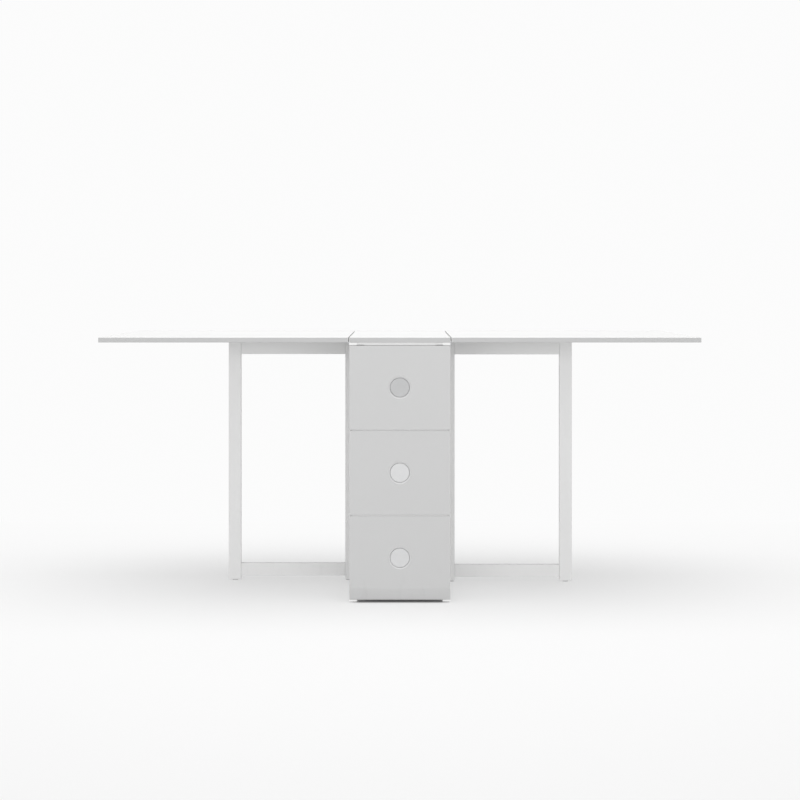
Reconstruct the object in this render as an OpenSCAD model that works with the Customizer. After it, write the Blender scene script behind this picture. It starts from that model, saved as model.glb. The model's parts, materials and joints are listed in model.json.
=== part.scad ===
// Gateleg table: a slim cabinet with drawers at both ends carries a fixed middle top.
// A leaf is hinged along each long side and rests on a gate that swings out of a pocket.
// Millimetres, +Z up. The origin is on the floor under the middle of the table,
// X runs along the two leaves and -Y is the near end. The right side is the left
// side turned half a turn about Z, and so is the far end of the near end.

/* [Top] */
// Height of the top face above the floor
table_h = 750; // [700:1:900]
// Depth of the top, near end to far end
table_d = 850; // [780:1:1020]
// Width of the fixed middle top
center_w = 286; // [270:1:345]
// Width of one leaf
leaf_w = 705; // [580:1:850]
// Thickness of the middle top and of the leaves
board_t = 14; // [11:0.5:18]
// Gap between a leaf and the middle top
leaf_gap = 4; // [3.5:0.5:6]

/* [Cabinet] */
// Thickness of an inner side panel
side_t = 20; // [16:1:24]
// Width of a post, near to far
post_w = 38; // [30:1:46]
// Thickness of the outer panel that closes the half of a side with no pocket
outer_panel_t = 18; // [12:1:19]
// Height of a glide under a post or a gate
glide_h = 3; // [2:0.5:6]
// Radius of a glide
glide_r = 8; // [5:0.5:9]
// Setback of the inner sides behind the front faces of the posts
side_setback = 15; // [8:1:20]
// Thickness of the bottom panel
bottom_t = 16; // [12:1:22]
// Height of the bottom panel above the floor
bottom_z = 14; // [10:1:22]
// Thickness of the divider between the near and the far drawers
divider_t = 12; // [9:1:20]
// Thickness of a cross rail
rail_t = 18; // [12:1:22]
// Depth of a cross rail, near to far
rail_w = 60; // [40:1:80]

/* [Drawers] */
// Thickness of a drawer face in its middle
face_t = 18; // [17:1:22]
// Thickness of the lip round a drawer face, which laps over the posts and rails
lip_t = 7; // [6:0.5:9]
// Gap round the thick middle of a face, to the posts and the rails
lip_gap = 2; // [1:0.5:5]
// Reveal of the post beside a drawer face
face_reveal = 0.5; // [0:0.5:2]
// Gap between two drawer faces
face_gap = 3; // [2:0.5:5]
// Gap between the lowest face and the floor
face_floor_gap = 8.5; // [6:0.5:12]
// Gap between the highest face and the underside of the top
face_top_gap = 8.5; // [4:0.5:14]
// Gap between the lip of a closed drawer face and the posts
face_post_gap = 1; // [0.5:0.5:3]
// Radius of the curve at the foot of the lowest face
foot_curve_r = 110; // [80:5:160]
// Thickness that the curve leaves at the lower edge of that face
foot_edge_t = 1; // [0.5:0.5:4]
// Gap between the face under it and the strip that fills the gap between two faces
strip_under_gap = 0.7; // [0.3:0.1:1.2]
// Gap between that strip and the face over it
strip_gap = 0.3; // [0.2:0.1:0.4]
// How far the strips stand back from the front of the faces
strip_back = 0.5; // [0.5:0.5:3]
// How far the strips end short of the ends of the faces
strip_short = 6.5; // [4:0.5:10]
// Gap between the highest face and the heads of the posts and rail over it
head_gap = 1; // [0.5:0.5:2]
// How far the heads stand back from the front of the faces
head_back = 3; // [1:0.5:5]
// Height of the notch in the rail's head in front of each inner side
head_notch_h = 1; // [0.5:0.5:5]
// Thickness of the sides and ends of a drawer box
box_t = 12; // [9:0.5:16]
// Glue gap between the boards of a drawer box
glue_gap = 0.1; // [0.05:0.05:0.3]
// Thickness of a drawer bottom
box_bottom_t = 4; // [3:0.5:8]
// Height of a drawer bottom above the lower edge of the box
box_bottom_up = 8; // [4:1:14]
// Room between the back of a drawer box and the divider
box_back_room = 36; // [12:1:80]
// Room between a drawer box and the opening, below it and above it
box_room = 6; // [4:0.5:12]

/* [Runners] */
// Width of the gap for a runner between the box and the inner side
runner_gap = 13; // [12:0.5:16]
// Height of a runner channel
channel_h = 35; // [30:1:45]
// Thickness of the steel of a channel
channel_t = 1.5; // [1:0.25:2]
// How much shorter than a drawer box its channels and slides are
runner_short = 15; // [8:1:60]
// Clearance between a slide and its channel, above, below and at its side
slide_clear = 1; // [0.5:0.25:2]
// Reach of the channel's lips past the back of the slide's head
lip_reach = 7.5; // [5:0.5:8]

/* [Buttons] */
// Radius of the round push button in each drawer face
button_r = 27; // [22:0.5:33]
// Radial gap between the button and its well
button_gap = 0.5; // [0.3:0.1:1]
// Width of the dished slope round the button
dish_w = 5; // [3:0.5:7]
// Depth of that dish, at the edge of the well
dish_d = 3; // [2:0.5:4]
// How far the button's face stands back from the front of the drawer face
button_sink = 1.5; // [0.5:0.5:2]
// Radius of the button's rounded rim
button_rim_r = 1; // [0.5:0.25:1.5]
// Thickness of the button's disc
button_t = 6; // [5:0.5:7]
// Depth of the well
well_d = 12; // [11:0.5:13]
// Travel of the button
button_travel = 3; // [2:0.5:3.5]
// Radius of the button's stem
stem_r = 9; // [6:0.5:12]
// Radial running clearance of the stem in the face
stem_run_clear = 0.05; // [0.02:0.01:0.1]
// Gap between the end of a pressed stem and the drawer box
stem_end_gap = 1; // [0.5:0.5:2]

/* [Gates] */
// Thickness of a gate
gate_t = 20; // [16:1:24]
// Width of a gate's outer stile and of its rails
gate_bar = 38; // [30:1:50]
// Reach of the inner stile outwards from the pivot
inner_stile_reach = 34; // [30:1:46]
// Clearance of a folded gate in its pocket, on each face
pocket_clear = 1; // [0.5:0.5:3]
// Clearance between the tip of a folded gate and the post
tip_clear = 6; // [3:0.5:9]
// Offset of an open gate's middle plane from the table's centre line
gate_offset = 16; // [13:1:30]
// Gap between the back of an open gate and the pivot post
pivot_post_gap = 4; // [3.5:0.5:8]
// Height of the lower edge of a gate's bottom rail
gate_foot_h = 14; // [8:1:40]
// Gap between the top of a gate and the underside of its leaf
gate_top_gap = 10; // [9:0.5:14]
// Clearance between the glide on top of a gate and the leaf
leaf_clear = 0.3; // [0.2:0.1:0.5]

/* [Gate pivots] */
// Radius of a pivot pin
pivot_pin_r = 4; // [3:0.5:5]
// Radial running clearance of the pin in its bracket
pivot_run_clear = 0.05; // [0.02:0.01:0.1]
// Radial play of the pin in the stile, where it is glued
pivot_glue_play = 0.02; // [0.01:0.01:0.05]
// Length of the pin inside the stile
pivot_pin_in = 50; // [30:1:80]
// How far the pin stands out past the bracket
pivot_pin_out = 3; // [1:0.5:5]
// Thickness of a pivot bracket
bracket_t = 4; // [3:0.5:6]
// Height of the flange that fixes the bracket to the post
bracket_flange_h = 32; // [24:1:60]
// Thickness of that flange
bracket_flange_t = 3; // [2:0.5:3]
// Height of the lower bracket above the floor
bracket_low_z = 24; // [16:1:60]
// Depth of the upper bracket below the top of the gate
bracket_top_down = 14; // [10:1:60]
// Gap between a bracket and the stile above or below it
bracket_gap = 0.5; // [0.3:0.1:1]
// Gap between the rounded bracket and the outer part of the stile
bracket_swing_gap = 5; // [4:0.5:10]

/* [Leaf hinges] */
// Distance from the end of a leaf to the middle of its hinge
hinge_end = 175; // [140:1:250]
// Length of a hinge
hinge_l = 70; // [50:1:110]
// Outer radius of the hinge's knuckles
knuckle_r = 4; // [3.5:0.25:4.25]
// Radius of the hinge pin
hinge_pin_r = 2.5; // [1.5:0.25:2.75]
// Radial running clearance of the moving knuckle on the pin
hinge_run_clear = 0.05; // [0.02:0.01:0.1]
// Radial play of the pin in the fixed knuckles
hinge_fixed_play = 0.02; // [0.01:0.01:0.05]
// Gap between neighbouring knuckles
knuckle_gap = 0.5; // [0.3:0.1:1]
// Gap between the underside of the boards and the knuckles
knuckle_drop = 0.5; // [0.3:0.1:1]
// Thickness of a hinge flap
flap_t = 2; // [1.5:0.25:3]
// Width of a hinge flap from the pin
flap_w = 20; // [14:1:21]

/* [Hidden] */
$fn = 64;

// Drawer levels, counted upwards
low = 0;
mid = 1;
top = 2;
levels = 3;

// Colours of the finishes
lacquer = [0.94, 0.94, 0.93];
inner_white = [0.90, 0.90, 0.89];
face_white = [0.86, 0.86, 0.86];
satin_metal = [0.78, 0.79, 0.80];
steel = [0.62, 0.63, 0.65];
glide_grey = [0.55, 0.55, 0.55];

// Heights
under_z = table_h - board_t;
gate_top_z = under_z - gate_top_gap;
face_h = (under_z - face_floor_gap - face_top_gap - (levels - 1) * face_gap) / levels;
function face_z(level) = face_floor_gap + level * (face_h + face_gap);
head_z = face_z(top) + face_h + head_gap;
strip_t = face_gap - strip_gap - strip_under_gap;
foot_curve_in = lip_t - foot_edge_t;
foot_rise = sqrt(pow(foot_curve_r, 2) - pow(foot_curve_r - foot_curve_in, 2));

// Places across the table
half_w = center_w / 2;
pocket_d = gate_t + 2 * pocket_clear;
side_out_x = half_w - pocket_d;
side_in_x = side_out_x - side_t;
box_half_w = side_in_x - runner_gap;
leaf_x = half_w + leaf_gap;
hinge_x = half_w + leaf_gap / 2;

// Places along the table's depth
half_d = table_d / 2;
post_face_y = half_d - lip_t - face_post_gap;
post_back_y = post_face_y - post_w;
side_face_y = post_face_y - side_setback;
box_face_y = half_d - face_t;
pivot_post_y = gate_offset + gate_t / 2 + pivot_post_gap;

// Gate
pivot_x = half_w - pocket_clear - gate_t / 2;
gate_reach = gate_offset + post_back_y - tip_clear;
nose_r = gate_t / 2;
notch_x = nose_r + bracket_swing_gap;
bracket_top_z = gate_top_z - bracket_top_down;

// Room that each drawer runs in
function open_z(level) =
    level == low ? bottom_z + bottom_t : face_z(level) + (rail_t - face_gap) / 2;
function open_top_z(level) =
    level == top ? under_z - rail_t : face_z(level + 1) - (face_gap + rail_t) / 2;
function box_z(level) = open_z(level) + box_room;
function box_h(level) = open_top_z(level) - open_z(level) - 2 * box_room;
function slide_z(level) = box_z(level) + box_h(level) / 2;
slide_h = channel_h - 2 * channel_t - 2 * slide_clear;
box_l = box_face_y - divider_t / 2 - box_back_room;
runner_l = box_l - runner_short;
runner_front_y = box_face_y - box_room;

// Hinge
hinge_y = half_d - hinge_end;
hinge_z = under_z - knuckle_drop - knuckle_r;
knuckle_l = (hinge_l - 2 * knuckle_gap) / 3;
flap_start = knuckle_r + knuckle_gap;

// A block from its lowest to its highest corner
module block(low_corner, high_corner) {
    translate(low_corner)
        cube(high_corner - low_corner);
}

// Turns a piece of the left side or the near end to the other one
module turned() {
    rotate([0, 0, 180])
        children();
}

// Draws a piece once at the left and once, turned, at the right
module both_sides() {
    children();
    turned() children();
}

// ---- Top ----

module center_top() {
    color(lacquer)
        block([-half_w, -half_d, under_z], [half_w, half_d, table_h]);
}

module leaf() {
    color(lacquer)
        block([-leaf_x - leaf_w, -half_d, under_z], [-leaf_x, half_d, table_h]);
}

// ---- Cabinet ----

module inner_side() {
    color(inner_white)
        block([-side_out_x, -side_face_y, bottom_z], [-side_in_x, side_face_y, under_z]);
}

module outer_panel() {
    color(lacquer)
        block([-side_out_x - outer_panel_t, pivot_post_y + post_w, bottom_z],
              [-side_out_x, post_back_y, gate_top_z]);
}

// A post whose near face is at the given place
module post(near_y) {
    block([-half_w, near_y, glide_h], [-side_out_x, near_y + post_w, under_z]);
}

// A near corner post, whose head fills the gap over the highest face
module corner_post() {
    color(lacquer)
        union() {
            post(-post_face_y);
            block([-half_w, -half_d + head_back, head_z],
                  [-side_out_x, -post_back_y, under_z]);
        }
}

module pivot_post() {
    color(lacquer)
        post(pivot_post_y);
}

module divider() {
    color(inner_white)
        block([-side_in_x, -divider_t / 2, bottom_z + bottom_t],
              [side_in_x, divider_t / 2, under_z]);
}

module bottom_panel() {
    color(inner_white)
        block([-side_in_x, -side_face_y, bottom_z],
              [side_in_x, side_face_y, bottom_z + bottom_t]);
}

// A rail across the near end whose underside is at height z
module cross_rail(z) {
    block([-side_in_x, -post_face_y, z], [side_in_x, -post_face_y + rail_w, z + rail_t]);
}

// A rail over the given level, with the strip that fills the gap between two faces
module strip_rail(level) {
    strip_x = half_w - face_reveal - strip_short;
    strip_top_z = face_z(level + 1) - strip_gap;
    union() {
        cross_rail(open_top_z(level));
        block([-strip_x, -half_d + strip_back, strip_top_z - strip_t],
              [strip_x, -post_face_y, strip_top_z]);
    }
}

// The rail under the top, whose head fills the gap over the highest face and
// reaches in front of the inner sides to the posts
module head_rail() {
    union() {
        cross_rail(open_top_z(top));
        block([-side_in_x, -half_d + head_back, head_z],
              [side_in_x, -post_face_y + rail_t, under_z]);
        block([-side_out_x, -half_d + head_back, head_z + head_notch_h],
              [side_out_x, -post_face_y, under_z]);
    }
}

module cross_rails() {
    color(lacquer) {
        strip_rail(low);
        strip_rail(mid);
        head_rail();
    }
}

// A round glide standing on the floor
module floor_glide() {
    cylinder(r = glide_r, h = glide_h);
}

module post_glides() {
    post_mid_x = half_w - pocket_d / 2;
    color(glide_grey)
        both_sides()
            for (y = [-post_face_y, pivot_post_y, post_back_y])
                translate([-post_mid_x, y + post_w / 2, 0])
                    floor_glide();
}

// ---- Drawers ----

// Outline of a face's lip seen from its side, the front at x = 0, height along y
module lip_outline(level) {
    if (level == low) {
        intersection() {
            square([lip_t, face_h]);
            union() {
                translate([0, foot_rise])
                    square([lip_t, face_h - foot_rise]);
                translate([foot_curve_r, foot_rise])
                    circle(r = foot_curve_r);
            }
        }
    } else {
        square([lip_t, face_h]);
    }
}

// Puts a turned piece on the centre of a near drawer face, its axis pointing out
module on_face(level) {
    translate([0, -half_d, face_z(level) + face_h / 2])
        rotate([90, 0, 0])
            children();
}

module drawer_face(level) {
    lip_w = center_w - 2 * face_reveal;
    core_x = side_out_x - lip_gap;
    color(face_white)
        difference() {
            union() {
                translate([-lip_w / 2, -half_d, face_z(level)])
                    rotate([90, 0, 90])
                        linear_extrude(lip_w)
                            lip_outline(level);
                block([-core_x, -half_d + lip_t, open_z(level) + lip_gap],
                      [core_x, -box_face_y, open_top_z(level) - lip_gap]);
            }
            on_face(level) {
                translate([0, 0, -well_d])
                    cylinder(r = button_r + button_gap, h = well_d);
                translate([0, 0, -dish_d])
                    cylinder(r1 = button_r + button_gap,
                             r2 = button_r + button_gap + 2 * dish_w, h = 2 * dish_d);
                translate([0, 0, -face_t - 1])
                    cylinder(r = stem_r + stem_run_clear, h = face_t);
            }
        }
}

// Half of the disc's section, cut through its axis, with the rim rounded
module disc_outline() {
    translate([0, -button_t])
        square([button_r, button_t - button_sink - button_rim_r]);
    translate([0, -button_t])
        square([button_r - button_rim_r, button_t - button_sink]);
    translate([button_r - button_rim_r, -button_sink - button_rim_r])
        circle(r = button_rim_r);
}

// Turned in one piece: a disc, and behind it a stem that slides in the face
module button(level) {
    stem_end = face_t - button_travel - stem_end_gap;
    color(satin_metal)
        on_face(level)
            rotate_extrude() {
                disc_outline();
                translate([0, -stem_end])
                    square([stem_r, stem_end - button_t]);
            }
}

// Two sides, two ends and a bottom, butted together with glue
module drawer_box(level) {
    front_y = -box_face_y;
    back_y = front_y + box_l;
    side_x = box_half_w - box_t;
    end_x = side_x - glue_gap;
    base_y0 = front_y + box_t + glue_gap;
    base_y1 = back_y - box_t - glue_gap;
    z0 = box_z(level);
    z1 = z0 + box_h(level);
    base_z = z0 + box_bottom_up;
    color(inner_white) {
        block([-box_half_w, front_y, z0], [-side_x, back_y, z1]);
        block([side_x, front_y, z0], [box_half_w, back_y, z1]);
        block([-end_x, front_y, z0], [end_x, front_y + box_t, z1]);
        block([-end_x, back_y - box_t, z0], [end_x, back_y, z1]);
        block([-end_x, base_y0, base_z], [end_x, base_y1, base_z + box_bottom_t]);
    }
}

// The steel slides on both sides of a drawer box
module drawer_slides(level) {
    head = runner_gap - channel_t - slide_clear;
    color(steel)
        for (side = [0, 1])
            mirror([side, 0, 0])
                block([box_half_w, -runner_front_y, slide_z(level) - slide_h / 2],
                      [box_half_w + head, -runner_front_y + runner_l,
                       slide_z(level) + slide_h / 2]);
}

// A channel open towards the drawer, fixed to an inner side at the near end
module runner_channel(level) {
    z = slide_z(level);
    back_x = side_in_x - channel_t;
    difference() {
        block([back_x - lip_reach, -runner_front_y, z - channel_h / 2],
              [side_in_x, -runner_front_y + runner_l, z + channel_h / 2]);
        block([back_x - lip_reach - 1, -runner_front_y - 1, z - channel_h / 2 + channel_t],
              [back_x, -runner_front_y + runner_l + 1, z + channel_h / 2 - channel_t]);
    }
}

module runner_channels() {
    color(steel)
        both_sides()
            for (level = [low : top], side = [0, 1])
                mirror([side, 0, 0])
                    runner_channel(level);
}

// ---- Gates ----

// Puts a piece of the left gate, drawn with the pivot at the origin, in its place
module at_pivot() {
    translate([-pivot_x, gate_offset, 0])
        children();
}

module outer_stile() {
    color(lacquer)
        at_pivot()
            block([-gate_reach, -gate_t / 2, glide_h],
                  [-gate_reach + gate_bar, gate_t / 2, gate_top_z]);
}

// The part of the plan that turns in the brackets: a half-round nose
module nose_outline() {
    circle(r = nose_r);
    translate([-notch_x, -nose_r])
        square([notch_x, gate_t]);
}

module inner_stile() {
    nose_z = bracket_low_z + bracket_t + bracket_gap;
    nose_top_z = bracket_top_z - bracket_gap;
    color(lacquer)
        at_pivot()
            difference() {
                union() {
                    block([-inner_stile_reach, -gate_t / 2, glide_h],
                          [-notch_x, gate_t / 2, gate_top_z]);
                    translate([0, 0, nose_z])
                        linear_extrude(nose_top_z - nose_z)
                            nose_outline();
                }
                translate([0, 0, nose_z - 1])
                    cylinder(r = pivot_pin_r + pivot_glue_play, h = pivot_pin_in + 1);
                translate([0, 0, nose_top_z - pivot_pin_in])
                    cylinder(r = pivot_pin_r + pivot_glue_play, h = pivot_pin_in + 1);
            }
}

// A rail between the stiles whose underside is at height z
module gate_rail(z) {
    color(lacquer)
        at_pivot()
            block([-gate_reach + gate_bar, -gate_t / 2, z],
                  [-inner_stile_reach, gate_t / 2, z + gate_bar]);
}

module gate_pins() {
    pin_l = pivot_pin_in + bracket_gap + bracket_t + pivot_pin_out;
    color(steel)
        at_pivot() {
            translate([0, 0, bracket_low_z - pivot_pin_out])
                cylinder(r = pivot_pin_r, h = pin_l);
            translate([0, 0, bracket_top_z + bracket_t + pivot_pin_out - pin_l])
                cylinder(r = pivot_pin_r, h = pin_l);
        }
}

// Floor glides under both stiles, and the glide that the leaf rests on
module gate_glides() {
    outer_mid = gate_reach - gate_bar / 2;
    inner_mid = (notch_x + inner_stile_reach) / 2;
    color(glide_grey)
        at_pivot() {
            for (x = [inner_mid, outer_mid])
                translate([-x, 0, 0])
                    floor_glide();
            translate([-outer_mid, 0, gate_top_z])
                cylinder(r = glide_r, h = gate_top_gap - leaf_clear);
        }
}

// A plate with a bore for the pin, and a flange on the pivot post.
// up is 1 for a flange that rises from the plate and -1 for one that hangs from it
module pivot_bracket(z, up) {
    flange_z = up > 0 ? z : z + bracket_t - bracket_flange_h;
    at_pivot()
        difference() {
            union() {
                translate([0, 0, z])
                    cylinder(r = nose_r, h = bracket_t);
                block([-nose_r, 0, z], [nose_r, nose_r + pivot_post_gap, z + bracket_t]);
                block([-nose_r, nose_r + pivot_post_gap - bracket_flange_t, flange_z],
                      [nose_r, nose_r + pivot_post_gap, flange_z + bracket_flange_h]);
            }
            translate([0, 0, z - 1])
                cylinder(r = pivot_pin_r + pivot_run_clear, h = bracket_t + 2);
        }
}

module pivot_brackets() {
    color(steel)
        both_sides() {
            pivot_bracket(bracket_low_z, 1);
            pivot_bracket(bracket_top_z, -1);
        }
}

// ---- Leaf hinges ----

// Repeats the left leaf's hinge pieces, drawn with the pin along Y through the origin
module at_leaf_hinges() {
    for (y = [-hinge_y, hinge_y])
        translate([-hinge_x, y - hinge_l / 2, hinge_z])
            children();
}

// A cylinder along Y that starts at the given place
module along_y(start, r, l) {
    translate([0, start, 0])
        rotate([-90, 0, 0])
            cylinder(r = r, h = l);
}

// One knuckle and the tongue that joins it to a flap on the +X side
module knuckle(start, bore_r) {
    flap_z = hinge_flap_z();
    difference() {
        union() {
            along_y(start, knuckle_r, knuckle_l);
            block([0, start, flap_z], [flap_start, start + knuckle_l, flap_z + flap_t]);
        }
        along_y(start - 1, bore_r, knuckle_l + 2);
    }
}

// Underside of a flap, measured from the pin
function hinge_flap_z() = under_z - flap_t - hinge_z;

// A flap lying on the +X side of the pin
module flap_plate() {
    flap_z = hinge_flap_z();
    block([flap_start, 0, flap_z], [flap_w, hinge_l, flap_z + flap_t]);
}

module hinge_fixed_flaps() {
    color(steel)
        both_sides()
            at_leaf_hinges() {
                flap_plate();
                knuckle(0, hinge_pin_r + hinge_fixed_play);
                knuckle(hinge_l - knuckle_l, hinge_pin_r + hinge_fixed_play);
            }
}

module hinge_leaf_flaps() {
    color(steel)
        at_leaf_hinges()
            mirror([1, 0, 0]) {
                flap_plate();
                knuckle(knuckle_l + knuckle_gap, hinge_pin_r + hinge_run_clear);
            }
}

module hinge_pins() {
    color(steel)
        both_sides()
            at_leaf_hinges()
                along_y(0, hinge_pin_r, hinge_l);
}

center_top();
leaf();  // leaf_left
turned() leaf();  // leaf_right
inner_side();  // inner_side_left
turned() inner_side();  // inner_side_right
outer_panel();  // outer_panel_left
turned() outer_panel();  // outer_panel_right
corner_post();  // post_near_left
turned() corner_post();  // post_far_right
mirror([0, 1, 0]) corner_post();  // post_far_left
mirror([1, 0, 0]) corner_post();  // post_near_right
pivot_post();  // pivot_post_left
turned() pivot_post();  // pivot_post_right
divider();
bottom_panel();
cross_rails();  // cross_rails_near
turned() cross_rails();  // cross_rails_far
runner_channels();
post_glides();
pivot_brackets();
hinge_fixed_flaps();
hinge_pins();
hinge_leaf_flaps();  // hinge_leaf_flaps_left
turned() hinge_leaf_flaps();  // hinge_leaf_flaps_right
outer_stile();  // gate_left_outer_stile
inner_stile();  // gate_left_inner_stile
gate_rail(gate_top_z - gate_bar);  // gate_left_top_rail
gate_rail(gate_foot_h);  // gate_left_bottom_rail
gate_pins();  // gate_left_pins
gate_glides();  // gate_left_glides
turned() outer_stile();  // gate_right_outer_stile
turned() inner_stile();  // gate_right_inner_stile
turned() gate_rail(gate_top_z - gate_bar);  // gate_right_top_rail
turned() gate_rail(gate_foot_h);  // gate_right_bottom_rail
turned() gate_pins();  // gate_right_pins
turned() gate_glides();  // gate_right_glides
drawer_face(low);  // near_low_face
drawer_box(low);  // near_low_box
button(low);  // near_low_button
drawer_slides(low);  // near_low_slides
drawer_face(mid);  // near_mid_face
drawer_box(mid);  // near_mid_box
button(mid);  // near_mid_button
drawer_slides(mid);  // near_mid_slides
drawer_face(top);  // near_top_face
drawer_box(top);  // near_top_box
button(top);  // near_top_button
drawer_slides(top);  // near_top_slides
turned() drawer_face(low);  // far_low_face
turned() drawer_box(low);  // far_low_box
turned() button(low);  // far_low_button
turned() drawer_slides(low);  // far_low_slides
turned() drawer_face(mid);  // far_mid_face
turned() drawer_box(mid);  // far_mid_box
turned() button(mid);  // far_mid_button
turned() drawer_slides(mid);  // far_mid_slides
turned() drawer_face(top);  // far_top_face
turned() drawer_box(top);  // far_top_box
turned() button(top);  // far_top_button
turned() drawer_slides(top);  // far_top_slides
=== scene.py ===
import json
import math

import bmesh
import bpy
from mathutils import Matrix, Vector


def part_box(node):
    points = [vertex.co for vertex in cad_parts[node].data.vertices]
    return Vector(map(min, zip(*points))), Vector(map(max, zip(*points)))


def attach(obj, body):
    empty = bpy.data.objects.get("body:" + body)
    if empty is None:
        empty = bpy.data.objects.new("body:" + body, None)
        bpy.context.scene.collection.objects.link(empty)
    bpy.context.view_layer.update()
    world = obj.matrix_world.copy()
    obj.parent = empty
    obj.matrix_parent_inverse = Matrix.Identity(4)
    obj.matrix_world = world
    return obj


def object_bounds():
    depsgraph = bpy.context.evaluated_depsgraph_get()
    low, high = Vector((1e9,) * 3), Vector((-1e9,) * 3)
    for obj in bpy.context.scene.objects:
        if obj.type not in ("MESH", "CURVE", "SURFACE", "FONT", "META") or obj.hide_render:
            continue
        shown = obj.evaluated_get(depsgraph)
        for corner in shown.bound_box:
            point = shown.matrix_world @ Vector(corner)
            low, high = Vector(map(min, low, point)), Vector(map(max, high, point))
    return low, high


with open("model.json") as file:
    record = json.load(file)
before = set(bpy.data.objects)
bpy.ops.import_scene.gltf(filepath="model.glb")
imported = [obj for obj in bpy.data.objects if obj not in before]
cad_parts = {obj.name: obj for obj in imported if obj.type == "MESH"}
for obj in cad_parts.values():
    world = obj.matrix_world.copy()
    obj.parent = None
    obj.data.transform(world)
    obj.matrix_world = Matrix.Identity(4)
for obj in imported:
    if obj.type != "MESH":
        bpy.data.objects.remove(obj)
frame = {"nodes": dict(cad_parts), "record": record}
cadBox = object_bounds()  # the part's own box, before any piece is added
scene = bpy.context.scene
mm = 0.001
ends = {"near": -1, "far": 1}
sides = {"left": -1, "right": 1}
levels = ("low", "mid", "top")
print("frame loaded:", len(frame["nodes"]), "nodes")


class Shade:
    # one output socket that expressions can be written on
    def __init__(self, tree, socket=None):
        self.tree = tree
        self.socket = socket

    def node(self, kind, settings=None, inputs=None, out=0):
        made = self.tree.nodes.new(kind)
        for key, value in (settings or {}).items():
            setattr(made, key, value)
        feed(made, inputs or {})
        return Shade(self.tree, made.outputs[out])

    def math(self, operation, *values):
        return self.node("ShaderNodeMath", {"operation": operation}, dict(enumerate(values)))

    def vector(self, operation, *values, out=0):
        return self.node("ShaderNodeVectorMath", {"operation": operation},
                         dict(enumerate(values)), out)

    def __add__(self, other):
        return self.math("ADD", self, other)

    __radd__ = __add__

    def __sub__(self, other):
        return self.math("SUBTRACT", self, other)

    def __rsub__(self, other):
        return self.math("SUBTRACT", other, self)

    def __mul__(self, other):
        return self.math("MULTIPLY", self, other)

    __rmul__ = __mul__

    def absolute(self):
        return self.math("ABSOLUTE", self)

    def clamped(self):
        return self.node("ShaderNodeClamp", None, {0: self})

    def axis(self, number):
        # one coordinate of a place: 0, 1 or 2
        return self.node("ShaderNodeSeparateXYZ", None, {0: self}, number)

    def remap(self, low, high):
        # 0 at the first value and 1 at the second, held flat beyond them
        return self.node("ShaderNodeMapRange", None, {0: self, 1: low, 2: high})


def feed(node, inputs):
    # sets or links a node's sockets
    for key, value in inputs.items():
        if isinstance(value, Shade):
            value.tree.links.new(value.socket, node.inputs[key])
        else:
            node.inputs[key].default_value = value


def startMaterial(name):
    # an empty material with its surface shader and its own coordinates
    material = bpy.data.materials.new(name)
    material.use_nodes = True
    tree = material.node_tree
    coords = Shade(tree).node("ShaderNodeTexCoord", out="Object")
    return material, tree.nodes["Principled BSDF"], coords


def noise(coords, scale, detail=2.0, roughness=0.5, stretch=(1, 1, 1)):
    # fractal noise on the object's own metres, drawn out along an axis if asked
    place = coords.vector("MULTIPLY", coords, stretch)
    return coords.node("ShaderNodeTexNoise", None, {"Vector": place, "Scale": scale,
                       "Detail": detail, "Roughness": roughness})


def mixTone(factor, toneA, toneB):
    # between two colours, each a fixed one or the output of another Mix node
    inputs = {"Factor": factor}
    for key, tone in ((6, toneA), (7, toneB)):
        inputs[key] = tone if isinstance(tone, Shade) else (*tone, 1)
    return factor.node("ShaderNodeMix", {"data_type": "RGBA"}, inputs, 2)


def bump(height, strength, distance):
    return height.node("ShaderNodeBump", None, {"Height": height, "Strength": strength,
                       "Distance": distance})


def scaled(tone, share):
    return tuple(share * channel for channel in tone)


lacquerValues = {
    # topLacquer's tone is the painted shade of the top's edges; its upper face takes the white
    # faceTone
    "topLacquer": {"tone": (0.44, 0.442, 0.442), "gloss": 0.34, "peel": 0.05, "grain": 0.0},
    "cabinetLacquer": {"tone": (0.86, 0.86, 0.857), "gloss": 0.38, "peel": 0.06, "grain": 0.0},
    "gateLacquer": {"tone": (0.74, 0.74, 0.738), "gloss": 0.40, "peel": 0.04, "grain": 0.10},
    "faceLacquer": {"tone": (0.52, 0.521, 0.521), "gloss": 0.42, "peel": 0.07, "grain": 0.0},
    "headLacquer": {"tone": (0.72, 0.72, 0.718), "gloss": 0.42, "peel": 0.06, "grain": 0.0},
    "innerBoard": {"tone": (0.80, 0.80, 0.79), "gloss": 0.50, "peel": 0.03, "grain": 0.05},
}
# the boards' faces are white, and their edges carry a greyer tone: a painted shade band, while the
# joint's edges stay white as painted light in the slot
boardValues = {"faceTone": (0.70, 0.70, 0.697), "shadeBandStart": 0.7 * mm, "shadeBandEnd": 0.3 * mm,
               "joint": 145 * mm, "jointHalf": 2.9 * mm, "jointSoft": 0.3 * mm}
scuffValues = {"top": 0.16, "floor": 0.0, "strength": 0.22, "scale": 38.0, "squash": 0.3,
               "start": 0.56, "full": 0.74, "share": 0.72}  # top and floor in metres
skinValues = {"clouds": 3.0, "specks": 900.0, "speckShare": 0.25, "marks": 14.0, "markGloss": 0.10,
              "scuffGloss": 0.5, "peel": 420.0, "speckRelief": 0.02, "grain": 620.0,
              "grainStretch": 0.035, "cloudTone": 0.965, "whiteCloudTone": 0.985,
              "bump": 0.35, "height": 0.4 * mm, "coat": 0.12, "coatGloss": 0.22, "ior": 1.45}
# a painted highlight: the lighter ring that light on the dish's walls gives round each button
litDishValues = {"radius": 32.0 * mm, "soft": 0.6 * mm, "share": 1.16}


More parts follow.
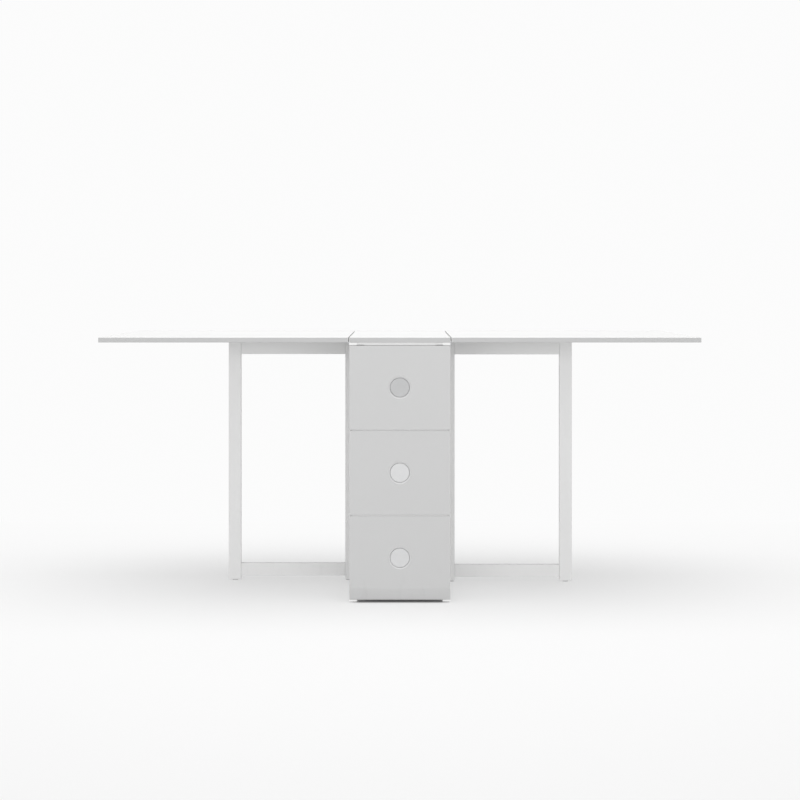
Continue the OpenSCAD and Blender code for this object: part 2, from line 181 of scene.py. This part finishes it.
def lacquer(name, label, grainAxis=2, dishCentre=None):
    # sprayed lacquer: faint clouds in tone, an orange peel, soft handling marks in its
    # gloss, and scuffs and dust low down where shoes and a mop reach it
    values, skin, board = lacquerValues[name], skinValues, boardValues
    material, shader, coords = startMaterial(label)
    tone = values["tone"]
    clouds = noise(coords, skin["clouds"], 3.0)
    specks = noise(coords, skin["specks"], 1.0)
    mask = ((1 - skin["speckShare"]) * clouds + skin["speckShare"] * specks).clamped()
    low = coords.axis(2).remap(scuffValues["top"], scuffValues["floor"])
    strokes = noise(coords, scuffValues["scale"], 5.0, 0.65, (1, 1, scuffValues["squash"]))
    strokes = strokes.remap(scuffValues["start"], scuffValues["full"])
    scuffs = (scuffValues["strength"] * low * strokes).clamped()
    marks = noise(coords, skin["marks"], 4.0, 0.6)
    relief = values["peel"] * noise(coords, skin["peel"], 2.0) + skin["speckRelief"] * specks
    if values["grain"]:
        stretch = [1, 1, 1]
        stretch[grainAxis] = skin["grainStretch"]
        relief = relief + values["grain"] * noise(coords, skin["grain"], 3.0, 0.6, stretch)
    sprayed = mixTone(mask, tone, scaled(tone, skin["cloudTone"]))
    if name == "topLacquer":
        # painted shade below the top face, with the joint's edges kept white as painted light in
        # the slot
        topZ = cadBox[1][2]
        onFace = coords.axis(2).remap(topZ - board["shadeBandStart"], topZ - board["shadeBandEnd"])
        fromJoint = (coords.axis(0).absolute() - board["joint"]).absolute()
        inJoint = fromJoint.remap(board["jointHalf"] + board["jointSoft"], board["jointHalf"])
        white = mixTone(mask, board["faceTone"], scaled(board["faceTone"], skin["whiteCloudTone"]))
        sprayed = mixTone(onFace.math("MAXIMUM", onFace, inJoint), sprayed, white)
    if dishCentre:
        # the dish round the button is painted lighter, a painted highlight for the light on its
        # sloped walls
        offset = coords.vector("SUBTRACT", coords, dishCentre)
        flat = coords.vector("MULTIPLY", offset, (1, 0, 1))
        edge = litDishValues["radius"]
        inLitDish = coords.vector("LENGTH", flat, out=1).remap(edge, edge - litDishValues["soft"])
        sprayed = mixTone(inLitDish, sprayed, scaled(tone, litDishValues["share"]))
    gloss = values["gloss"] + skin["markGloss"] * (marks - 0.5) + skin["scuffGloss"] * scuffs
    feed(shader, {"Base Color": mixTone(scuffs, sprayed, scaled(tone, scuffValues["share"])),
                  "Roughness": gloss, "Normal": bump(relief, skin["bump"], skin["height"]),
                  "Coat Weight": skin["coat"], "Coat Roughness": skin["coatGloss"],
                  "IOR": skin["ior"]})
    return material


buttonValues = {
    # each level's tone is the metal's own colour plus a painted reflection: the top button darker,
    # the mid one lighter, for what each faces
    "tonesWithPaintedReflection": {"low": (0.57, 0.572, 0.575), "mid": (0.58, 0.582, 0.585),
              "top": (0.44, 0.442, 0.445)},
    "gloss": 0.52, "metal": 0.3, "ringPitch": 0.45 * mm, "ringDepth": 0.05,
    "wornScale": 60.0, "wornShare": 0.96, "wornGloss": 0.08,
}


def turnedMetal(name, tone, centre):
    # satin metal with the fine rings that turning leaves about the button's own axis
    material, shader, coords = startMaterial(name)
    values = buttonValues
    fromAxis = coords.vector("SUBTRACT", coords, centre)
    flat = coords.vector("MULTIPLY", fromAxis, (1, 0, 1))
    phase = coords.vector("LENGTH", flat, out=1) * (2 * math.pi / values["ringPitch"])
    rings = phase.math("SINE", phase)
    worn = noise(coords, values["wornScale"], 3.0)
    feed(shader, {"Base Color": mixTone(worn, tone, scaled(tone, values["wornShare"])),
                  "Metallic": values["metal"],
                  "Roughness": values["gloss"] + values["wornGloss"] * (worn - 0.5),
                  "Normal": bump(values["ringDepth"] * rings, 0.3, 0.2 * mm)})
    return material


platedValues = {"crystals": 240.0, "drawn": 0.4, "smears": 30.0, "dark": 0.82, "smearGloss": 0.14,
                "relief": 0.1}


def plated(name, tone, gloss):
    # zinc on steel: small crystals in tone and gloss, drawn out a little along the sheet
    material, shader, coords = startMaterial(name)
    values = platedValues
    crystals = noise(coords, values["crystals"], 3.0, 0.6, (1, values["drawn"], 1))
    smears = noise(coords, values["smears"], 3.0)
    feed(shader, {"Base Color": mixTone(crystals, scaled(tone, values["dark"]), tone),
                  "Metallic": 1.0,
                  "Roughness": gloss + values["smearGloss"] * (smears - 0.5),
                  "Normal": bump(values["relief"] * crystals, 0.25, 0.2 * mm)})
    return material


mouldedValues = {"texture": 1500.0, "clouds": 40.0, "dark": 0.9, "textureGloss": 0.1}


def moulded(name, tone, gloss, grit=0.2):
    # moulded plastic with a fine spark-eroded skin; a higher grit reads as felt
    material, shader, coords = startMaterial(name)
    values = mouldedValues
    texture = noise(coords, values["texture"], 2.0)
    clouds = noise(coords, values["clouds"], 2.0)
    feed(shader, {"Base Color": mixTone(clouds, scaled(tone, values["dark"]), tone),
                  "Roughness": gloss + values["textureGloss"] * (texture - 0.5),
                  "Normal": bump(grit * texture, 0.3, 0.2 * mm)})
    return material


materials = {
    "top_lacquer": lacquer("topLacquer", "topLacquer"),
    "cabinet_lacquer": lacquer("cabinetLacquer", "cabinetLacquer"),
    "gate_lacquer": lacquer("gateLacquer", "gateLacquer", 2),
    "inner_board": lacquer("innerBoard", "innerBoard", 1),
    "zinc_steel": plated("zincSteel", (0.66, 0.67, 0.69), 0.36),
    "runner_steel": plated("runnerSteel", (0.74, 0.74, 0.745), 0.42),
    "glide_plastic": moulded("glidePlastic", (0.55, 0.55, 0.55), 0.55),
}
headLacquer = lacquer("headLacquer", "headLacquer")  # the rails between and over the faces
railLacquer = lacquer("gateLacquer", "gateRailLacquer", 0)  # its grain runs along the rails
feltGrey = moulded("feltGrey", (0.62, 0.62, 0.61), 0.88, 0.9)
plugWhite = moulded("plugWhite", (0.80, 0.80, 0.79), 0.45)


slotOf = {part["node"]: part["material_slot"] for part in frame["record"]["subparts"]}
edgeValues = {  # radius of the eased edges in each finish, in millimetres
    "top_lacquer": 1.0, "cabinet_lacquer": 1.2, "gate_lacquer": 1.8, "face_lacquer": 0.6,
    "inner_board": 0.6, "zinc_steel": 0.25, "runner_steel": 0.2, "button_metal": 0.3,
    "glide_plastic": 0.8,
}
thinEdge = 0.3  # the cross rails carry thin strips between the faces


def roundEdges(obj, width):
    bevel = obj.modifiers.new("easedEdges", "BEVEL")
    bevel.width = width
    bevel.segments = 3
    bevel.limit_method = "ANGLE"
    bevel.angle_limit = math.radians(40)
    return bevel


def easeEdges(obj, radius):
    # welds the split corners of the imported mesh, then rounds its sharp edges
    weld = obj.modifiers.new("weld", "WELD")
    weld.merge_threshold = 0.02 * mm
    roundEdges(obj, radius * mm).harden_normals = True


def centreOf(node):
    low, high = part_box(node)
    return (Vector(low) + Vector(high)) / 2


for node, obj in frame["nodes"].items():
    slot = slotOf[node]
    if slot == "button_metal":
        level = node.split("_")[1]
        finish = turnedMetal("turned_" + node, buttonValues["tonesWithPaintedReflection"][level], centreOf(node))
    elif node.startswith("cross_rails"):
        finish = headLacquer
    elif node.endswith("_rail"):
        finish = railLacquer
    elif slot == "face_lacquer":
        button = node.replace("_face", "_button")
        finish = lacquer("faceLacquer", "faceLacquer_" + node, dishCentre=centreOf(button))
    else:
        finish = materials[slot]
    obj.data.materials.clear()
    obj.data.materials.append(finish)
    easeEdges(obj, thinEdge if node.startswith("cross_rails") else edgeValues[slot])
print("finishes on", len(frame["nodes"]), "nodes")


def placed(place, facing):
    # local +Z turned to face a direction, at a place
    turn = Vector(facing).to_track_quat("Z", "Y").to_matrix().to_4x4()
    return Matrix.Translation(place) @ turn


def revolve(mesh, matrix, profile, segments=24):
    # a closed turned solid: the profile runs (radius, height) from axis to axis
    rings = []
    for radius, height in profile:
        if radius == 0:
            rings.append([mesh.verts.new(matrix @ Vector((0, 0, height)))])
            continue
        ring = []
        for step in range(segments):
            angle = 2 * math.pi * step / segments
            corner = Vector((radius * math.cos(angle), radius * math.sin(angle), height))
            ring.append(mesh.verts.new(matrix @ corner))
        rings.append(ring)
    for lower, upper in zip(rings, rings[1:]):
        for step in range(segments):
            after = (step + 1) % segments
            if len(lower) == 1:
                corners = (lower[0], upper[after], upper[step])
            elif len(upper) == 1:
                corners = (lower[step], lower[after], upper[0])
            else:
                corners = (lower[step], lower[after], upper[after], upper[step])
            mesh.faces.new(corners)


def crossOutline(reach, width):
    # the twelve corners of a cross, anticlockwise
    corners = []
    for turn in range(4):
        angle = math.pi / 2 * turn
        for x, y in ((reach, -width), (reach, width), (width, width)):
            corners.append((x * math.cos(angle) - y * math.sin(angle),
                            x * math.sin(angle) + y * math.cos(angle)))
    return corners


# shares of a head's radius, of how far it is sunk, and of how far it stands proud
headShape = {"base": 0.8, "waist": 0.5, "lip": 0.3, "crown": 0.78, "cross": 0.56, "slot": 0.13,
             "pit": 0.6, "segments": 24}


def screwHead(mesh, matrix, radius, proud, sunk):
    # a crowned head with a tapered cross recess, standing proud of a face and let into it
    shape = headShape
    segments = shape["segments"]
    profile = ((radius * shape["base"], -sunk), (radius, -sunk * shape["waist"]),
               (radius, proud * shape["lip"]), (radius * shape["crown"], proud))
    rings = []
    for ringRadius, height in profile:
        ring = []
        for step in range(segments):
            angle = 2 * math.pi * step / segments
            corner = Vector((ringRadius * math.cos(angle), ringRadius * math.sin(angle), height))
            ring.append(mesh.verts.new(matrix @ corner))
        rings.append(ring)
    mesh.faces.new(list(reversed(rings[0])))
    for lower, upper in zip(rings, rings[1:]):
        for i in range(segments):
            j = (i + 1) % segments
            mesh.faces.new((lower[i], lower[j], upper[j], upper[i]))
    outline = crossOutline(radius * shape["cross"], radius * shape["slot"])
    taper = shape["pit"]
    rim = [mesh.verts.new(matrix @ Vector((x, y, proud))) for x, y in outline]
    pit = [mesh.verts.new(matrix @ Vector((x * taper, y * taper, -sunk * taper)))
           for x, y in outline]
    edges = []
    for loop in (rings[-1], rim):
        for i, vert in enumerate(loop):
            after = loop[(i + 1) % len(loop)]
            edges.append(mesh.edges.get((vert, after)) or mesh.edges.new((vert, after)))
    outward = matrix.to_3x3() @ Vector((0, 0, 1))
    bmesh.ops.triangle_fill(mesh, use_beauty=True, edges=edges, normal=outward)
    for i in range(len(rim)):
        j = (i + 1) % len(rim)
        mesh.faces.new((rim[i], rim[j], pit[j], pit[i]))
    mesh.faces.new(pit)


def finishPiece(name, mesh, finish, body, bevelWidth=0):
    # turns the mesh in progress into an object that rides a body
    bmesh.ops.recalc_face_normals(mesh, faces=mesh.faces)
    data = bpy.data.meshes.new(name)
    mesh.to_mesh(data)
    mesh.free()
    obj = bpy.data.objects.new(name, data)
    scene.collection.objects.link(obj)
    data.materials.append(finish)
    if bevelWidth:
        roundEdges(obj, bevelWidth)
    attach(obj, body)
    return obj


hingeScrewValues = {"radius": 3.6 * mm, "proud": 0.25 * mm, "sunk": 1.2 * mm, "fromPin": 13 * mm,
                    "spacing": 23 * mm, "hingeLength": 70 * mm, "flap": 2 * mm}


def makeHingeScrews():
    # three countersunk screws in each flap, heads downwards
    values = hingeScrewValues
    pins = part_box("hinge_pins")
    middleY = pins[1][1] - values["hingeLength"] / 2
    for side, sign in sides.items():
        flapLow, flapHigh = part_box("hinge_leaf_flaps_" + side)
        underside = flapHigh[2] - values["flap"]
        pinX = sign * boardValues["joint"]
        for body, away in (("cabinet", -sign), ("leaf_" + side, sign)):
            mesh = bmesh.new()
            for hinge in (-middleY, middleY):
                for step in (-1, 0, 1):
                    place = (pinX + away * values["fromPin"],
                             hinge + step * values["spacing"], underside)
                    screwHead(mesh, placed(place, (0, 0, -1)), values["radius"],
                              values["proud"], values["sunk"])
            finishPiece("hingeScrews_" + body + "_" + side, mesh, materials["zinc_steel"],
                        body)


slideScrewValues = {"radius": 3.2 * mm, "proud": 0.2 * mm, "sunk": 1.2 * mm,
                    "inset": 26 * mm, "count": 4}
frontScrewValues = {"radius": 4.4 * mm, "proud": 1.9 * mm, "sunk": 0.8 * mm,
                    "x": 45 * mm, "z": 46 * mm, "board": 12 * mm}


def makeDrawerScrews():
    # screws along each slide, and four inside each box front that hold the face on
    slide, front = slideScrewValues, frontScrewValues
    for end, sign in ends.items():
        for level in levels:
            stem = end + "_" + level
            body = "drawer_" + stem
            low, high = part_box(stem + "_slides")
            mesh = bmesh.new()
            for step in range(slide["count"]):
                share = step / (slide["count"] - 1)
                y = low[1] + slide["inset"] + share * (high[1] - low[1] - 2 * slide["inset"])
                for x, facing in ((low[0], -1), (high[0], 1)):
                    screwHead(mesh, placed((x, y, (low[2] + high[2]) / 2), (facing, 0, 0)),
                              slide["radius"], slide["proud"], slide["sunk"])
            boxLow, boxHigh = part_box(stem + "_box")
            frontY = (boxLow if sign < 0 else boxHigh)[1] - sign * front["board"]
            middleZ = (boxLow[2] + boxHigh[2]) / 2
            for x in (-front["x"], front["x"]):
                for z in (-front["z"], front["z"]):
                    screwHead(mesh, placed((x, frontY, middleZ + z), (0, -sign, 0)),
                              front["radius"], front["proud"], front["sunk"])
            finishPiece("drawerScrews_" + stem, mesh, materials["zinc_steel"],
                        body)


bumperValues = {"radius": 4.0 * mm, "proud": 0.7 * mm, "sunk": 0.2 * mm, "inset": 24 * mm,
                "x": 132 * mm}


def makeBumpers():
    # soft dots on the posts, where a closing face lands
    values = bumperValues
    radius, proud, sunk = values["radius"], values["proud"], values["sunk"]
    profile = [(0, -sunk), (radius, -sunk), (radius, proud * 0.35), (radius * 0.82, proud * 0.8),
               (radius * 0.45, proud), (0, proud)]
    for end, sign in ends.items():
        mesh = bmesh.new()
        postLow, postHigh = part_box("post_" + end + "_left")
        postY = (postLow if sign < 0 else postHigh)[1]
        for level in levels:
            faceLow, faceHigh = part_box(end + "_" + level + "_face")
            for z in (faceLow[2] + values["inset"], faceHigh[2] - values["inset"]):
                for x in (-values["x"], values["x"]):
                    revolve(mesh, placed((x, postY, z), (0, sign, 0)), profile)
        finishPiece("bumpers_" + end, mesh, feltGrey, "cabinet")


plugValues = {
    "radius": 6.0 * mm, "proud": 0.35 * mm, "sunk": 0.3 * mm, "lip": 0.8 * mm,
    "bottomY": (110 * mm, 235 * mm),  # over the bottom panel's screws
    "dividerZ": (120 * mm, 300 * mm, 480 * mm, 660 * mm),
    "railY": 366 * mm, "railUp": 1.5 * mm,
    "panelInsetY": 24 * mm, "panelInsetZ": 40 * mm,
}


def makePlugs():
    # snap-in caps over the screws that hold rails, divider, bottom and outer panels
    values = plugValues
    radius, proud, sunk = values["radius"], values["proud"], values["sunk"]
    lip = values["lip"]
    profile = [(0, -sunk), (radius, -sunk), (radius, proud * 0.4), (radius - lip, proud),
               (radius - 2 * lip, proud * 0.55), (0, proud * 0.7)]
    bottomZ = centreOf("bottom_panel").z
    for side, sign in sides.items():
        mesh = bmesh.new()
        sideLow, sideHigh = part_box("inner_side_" + side)
        faceX = (sideLow if sign < 0 else sideHigh)[0]
        toPocket = sign  # the left pocket lies towards the near end
        places = [(toPocket * y, bottomZ) for y in values["bottomY"]]
        places += [(0.0, z) for z in values["dividerZ"]]
        railEnd = "near" if sign < 0 else "far"
        for level in levels:
            faceLow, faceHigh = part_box(railEnd + "_" + level + "_face")
            places.append((toPocket * values["railY"], faceHigh[2] + values["railUp"]))
        for y, z in places:
            revolve(mesh, placed((faceX, y, z), (sign, 0, 0)), profile)
        panelLow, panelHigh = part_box("outer_panel_" + side)
        panelX = (panelLow if sign < 0 else panelHigh)[0]
        insetY, insetZ = values["panelInsetY"], values["panelInsetZ"]
        middleZ = (panelLow[2] + panelHigh[2]) / 2
        for y in (panelLow[1] + insetY, panelHigh[1] - insetY):
            for z in (panelLow[2] + insetZ, middleZ, panelHigh[2] - insetZ):
                revolve(mesh, placed((panelX, y, z), (sign, 0, 0)), profile)
        finishPiece("plugs_" + side, mesh, plugWhite, "cabinet")


# height is less than a hanging leaf's clearance to the posts; glide is half the width of the
# glide that swings up to the block
stopValues = {
    "length": 40 * mm, "depth": 18 * mm, "height": 5.5 * mm, "glide": 8 * mm, "clear": 0.6 * mm,
    "pad": 1.6 * mm, "slope": 3 * mm, "padInset": 2 * mm, "padUp": 1 * mm, "padGap": 0.3 * mm,
    "edge": 0.6 * mm, "padEdge": 0.3 * mm,
    "screw": 3.0 * mm, "screwInset": 10 * mm, "screwProud": 0.2 * mm, "screwSunk": 1.2 * mm,
}


def prism(mesh, corners, axisStart, axisEnd):
    # a prism along X through (y, z) corners
    first = [mesh.verts.new((axisStart, y, z)) for y, z in corners]
    last = [mesh.verts.new((axisEnd, y, z)) for y, z in corners]
    mesh.faces.new(list(reversed(first)))
    mesh.faces.new(last)
    for i in range(len(corners)):
        j = (i + 1) % len(corners)
        mesh.faces.new((first[i], first[j], last[j], last[i]))


def makeLeafStops():
    # a block under each leaf that the opened gate swings up to, with a felt pad on its face
    values = stopValues
    for side, sign in sides.items():
        body = "leaf_" + side
        stile = centreOf("gate_" + side + "_outer_stile")
        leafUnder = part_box("leaf_" + side)[0][2]
        back = -sign  # away from the swing
        start = stile.y + back * (values["glide"] + values["clear"])
        padEnd = start + back * values["pad"]
        end = start + back * values["depth"]
        sloped = end - back * values["slope"]
        bottom = leafUnder - values["height"]
        x0, x1 = stile.x - values["length"] / 2, stile.x + values["length"] / 2
        mesh = bmesh.new()
        prism(mesh, [(padEnd, bottom), (sloped, bottom), (end, bottom + values["slope"]),
                     (end, leafUnder), (padEnd, leafUnder)], x0, x1)
        finishPiece("leafStop_" + side, mesh, plugWhite, body, values["edge"])
        mesh = bmesh.new()
        padLow, padHigh = bottom + values["padUp"], leafUnder - values["padGap"]
        prism(mesh, [(start, padLow), (padEnd, padLow), (padEnd, padHigh), (start, padHigh)],
              x0 + values["padInset"], x1 - values["padInset"])
        finishPiece("leafStopPad_" + side, mesh, feltGrey, body,
                    values["padEdge"])
        mesh = bmesh.new()
        for x in (x0 + values["screwInset"], x1 - values["screwInset"]):
            screwHead(mesh, placed((x, (padEnd + sloped) / 2, bottom), (0, 0, -1)),
                      values["screw"], values["screwProud"], values["screwSunk"])
        finishPiece("leafStopScrews_" + side, mesh, materials["zinc_steel"], body)


makeHingeScrews()
makeDrawerScrews()
makeBumpers()
makePlugs()
makeLeafStops()
print("fittings made")

stageValues = {
    "tone": (0.50, 0.50, 0.50), "gloss": 0.9, "cloudScale": 1.2, "cloudTone": 0.99,
    "floorGlow": 0.38, "glow": 0.97, "glowStart": 0.45, "glowEnd": 1.5,
    "footprint": (0.145, 0.43), "soft": 0.03, "footprintGlow": 0.02,
    "halfWidth": 9.0, "near": -9.0, "wall": 5.0, "wallHeight": 6.0, "bend": 2.0, "steps": 16,
}


def makeStage():
    # a seamless floor that curves up into a wall behind the table
    values = stageValues
    steps = values["steps"]
    profile = [(values["near"], 0.0)]
    for step in range(steps + 1):
        angle = math.pi / 2 * step / steps
        profile.append((values["wall"] - values["bend"] * (1 - math.sin(angle)),
                        values["bend"] * (1 - math.cos(angle))))
    profile.append((values["wall"], values["wallHeight"]))
    mesh = bpy.data.meshes.new("studioFloor")
    verts = [(side * values["halfWidth"], y, z) for y, z in profile for side in (-1, 1)]
    faces = [(2 * i, 2 * i + 1, 2 * i + 3, 2 * i + 2) for i in range(len(profile) - 1)]
    mesh.from_pydata(verts, [], faces)
    for face in mesh.polygons:
        face.use_smooth = True
    obj = bpy.data.objects.new("studioFloor", mesh)
    scene.collection.objects.link(obj)
    material, shader, coords = startMaterial("studioPaint")
    # a floor that is softly lit from within, painted light that softens its shadows, and fades
    # into a lit backdrop behind the table
    back = coords.axis(1).remap(values["glowStart"], values["glowEnd"])
    sizeX, sizeY = values["footprint"]
    soft = values["soft"]
    # painted shadow: next to no light from within where the cabinet stands, so the floor under it
    # is dark
    underX = coords.axis(0).absolute().remap(sizeX, sizeX - soft)
    underY = coords.axis(1).absolute().remap(sizeY, sizeY - soft)
    glow = mixTone(underX * underY, (values["floorGlow"],) * 3, (values["footprintGlow"],) * 3)
    clouds = noise(coords, values["cloudScale"])
    paint = mixTone(clouds, values["tone"], scaled(values["tone"], values["cloudTone"]))
    feed(shader, {"Base Color": mixTone(back, paint, (0, 0, 0)), "Roughness": values["gloss"],
                  "Emission Color": mixTone(back, glow, (values["glow"],) * 3),
                  "Emission Strength": 1.0, "Specular IOR Level": 0.0})
    mesh.materials.append(material)


lightValues = {
    "worldTone": (1.0, 1.0, 1.0), "worldStrength": 0.68,
    "overhead": {"place": (0.0, -0.3, 3.6), "size": (5.0, 4.0), "power": 95.0,
                 "aim": (0.0, 0.2, 0.0)},
    "frontFill": {"place": (0.0, -7.6, 1.05), "size": (7.0, 2.0), "power": 150.0,
                  "aim": (0.0, 0.0, 0.5)},
}


def addAreaLight(name, values):
    light = bpy.data.lights.new(name, "AREA")
    light.shape = "RECTANGLE"
    light.size, light.size_y = values["size"]
    light.energy = values["power"]
    obj = bpy.data.objects.new(name, light)
    obj.location = values["place"]
    aim = Vector(values["aim"]) - Vector(values["place"])
    obj.rotation_euler = aim.to_track_quat("-Z", "Y").to_euler()
    scene.collection.objects.link(obj)


def makeLight():
    world = bpy.data.worlds.new("studioWorld")
    world.use_nodes = True
    # a paler sky is seen than the one that lights the room, so the backdrop has no visible edge
    tree = world.node_tree
    tone = (*lightValues["worldTone"], 1)
    sky = Shade(tree)
    lighting = sky.node("ShaderNodeBackground", None,
                        {"Color": tone, "Strength": lightValues["worldStrength"]})
    seen = sky.node("ShaderNodeBackground", None,
                    {"Color": tone, "Strength": stageValues["glow"]})
    isSeen = sky.node("ShaderNodeLightPath", out="Is Camera Ray")
    mixed = sky.node("ShaderNodeMixShader", None, {0: isSeen, 1: lighting, 2: seen})
    feed(tree.nodes["World Output"], {"Surface": mixed})
    scene.world = world
    scene.view_settings.view_transform = "Standard"
    addAreaLight("overhead", lightValues["overhead"])
    addAreaLight("frontFill", lightValues["frontFill"])


cameraValues = {"distance": 5.523, "height": 0.899, "lens": 87.99, "sensor": 36,
                "shiftX": 0.00023, "shiftY": -0.1440, "clipEnd": 60}


def makeCamera():
    # level, looking along +Y at the near end, with its frame shifted down to the floor
    camera = bpy.data.cameras.new("camera")
    camera.sensor_width = cameraValues["sensor"]
    camera.lens = cameraValues["lens"]
    camera.shift_x = cameraValues["shiftX"]
    camera.shift_y = cameraValues["shiftY"]
    camera.clip_end = cameraValues["clipEnd"]
    obj = bpy.data.objects.new("camera", camera)
    nearEnd = cadBox[0][1]
    obj.location = (0, nearEnd - cameraValues["distance"], cameraValues["height"])
    obj.rotation_euler = (math.pi / 2, 0, 0)
    scene.collection.objects.link(obj)
    scene.camera = obj


makeStage()
makeLight()
makeCamera()
print("stage, light and camera set")
